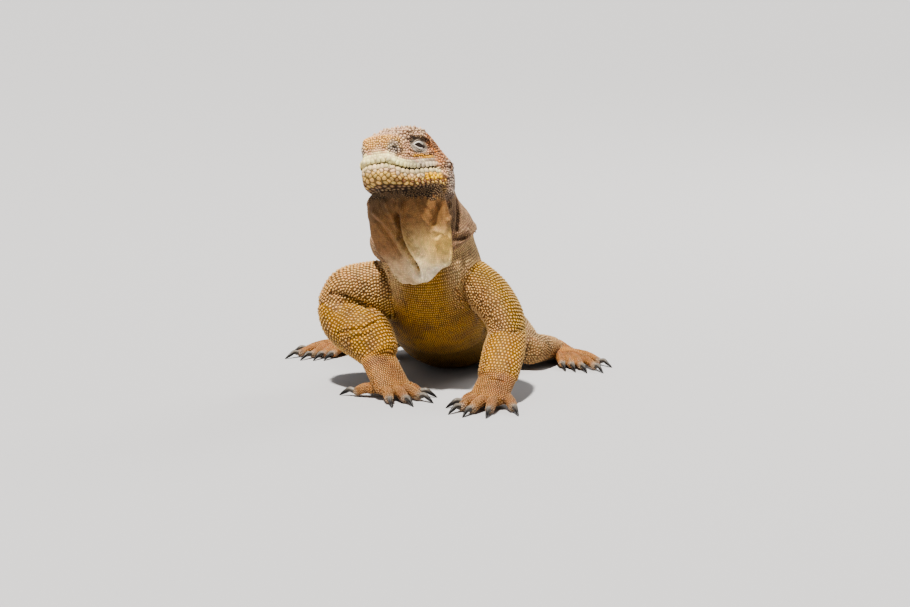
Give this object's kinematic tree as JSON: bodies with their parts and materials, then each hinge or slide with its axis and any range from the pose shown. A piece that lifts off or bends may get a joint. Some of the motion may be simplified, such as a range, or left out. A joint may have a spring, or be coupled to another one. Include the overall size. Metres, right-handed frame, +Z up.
{
  "type": "land iguana",
  "caption": "Life-size land iguana propped up on its fore legs, head raised and turned, dewlap hanging, hind legs splayed and tail laid out on the floor",
  "frame": {"origin": "centre of the footprint of the whole animal, on the floor it rests on", "axes": "+X is the animal's left, +Y runs from head to tail, +Z is up"},
  "size_m": [0.3796, 0.9374, 0.2984],
  "materials": {
    "skin": "dry scaly skin, mustard and tan, pinkish on head and neck",
    "claw": "dark horn, lightly polished, paler along the top",
    "eye": "wet dark brown eye"
  },
  "bodies": {
    "root": {"head": "skin", "jaw": "skin", "eye_left": "eye", "eye_right": "eye", "dewlap": "skin", "neck": "skin", "chest": "skin", "belly": "skin", "tail_base": "skin", "tail_middle": "skin", "tail_end": "skin", "tail_tip": "skin", "upper_arm_left": "skin", "forearm_left": "skin", "hand_left": "skin", "claw_fore_left_1": "claw", "claw_fore_left_2": "claw", "claw_fore_left_3": "claw", "claw_fore_left_4": "claw", "claw_fore_left_5": "claw", "upper_arm_right": "skin", "forearm_right": "skin", "hand_right": "skin", "claw_fore_right_1": "claw", "claw_fore_right_2": "claw", "claw_fore_right_3": "claw", "claw_fore_right_4": "claw", "claw_fore_right_5": "claw", "thigh_left": "skin", "shin_left": "skin", "foot_left": "skin", "claw_hind_left_1": "claw", "claw_hind_left_2": "claw", "claw_hind_left_3": "claw", "claw_hind_left_4": "claw", "claw_hind_left_5": "claw", "thigh_right": "skin", "shin_right": "skin", "foot_right": "skin", "claw_hind_right_1": "claw", "claw_hind_right_2": "claw", "claw_hind_right_3": "claw", "claw_hind_right_4": "claw", "claw_hind_right_5": "claw"}
  },
  "joints": []
}
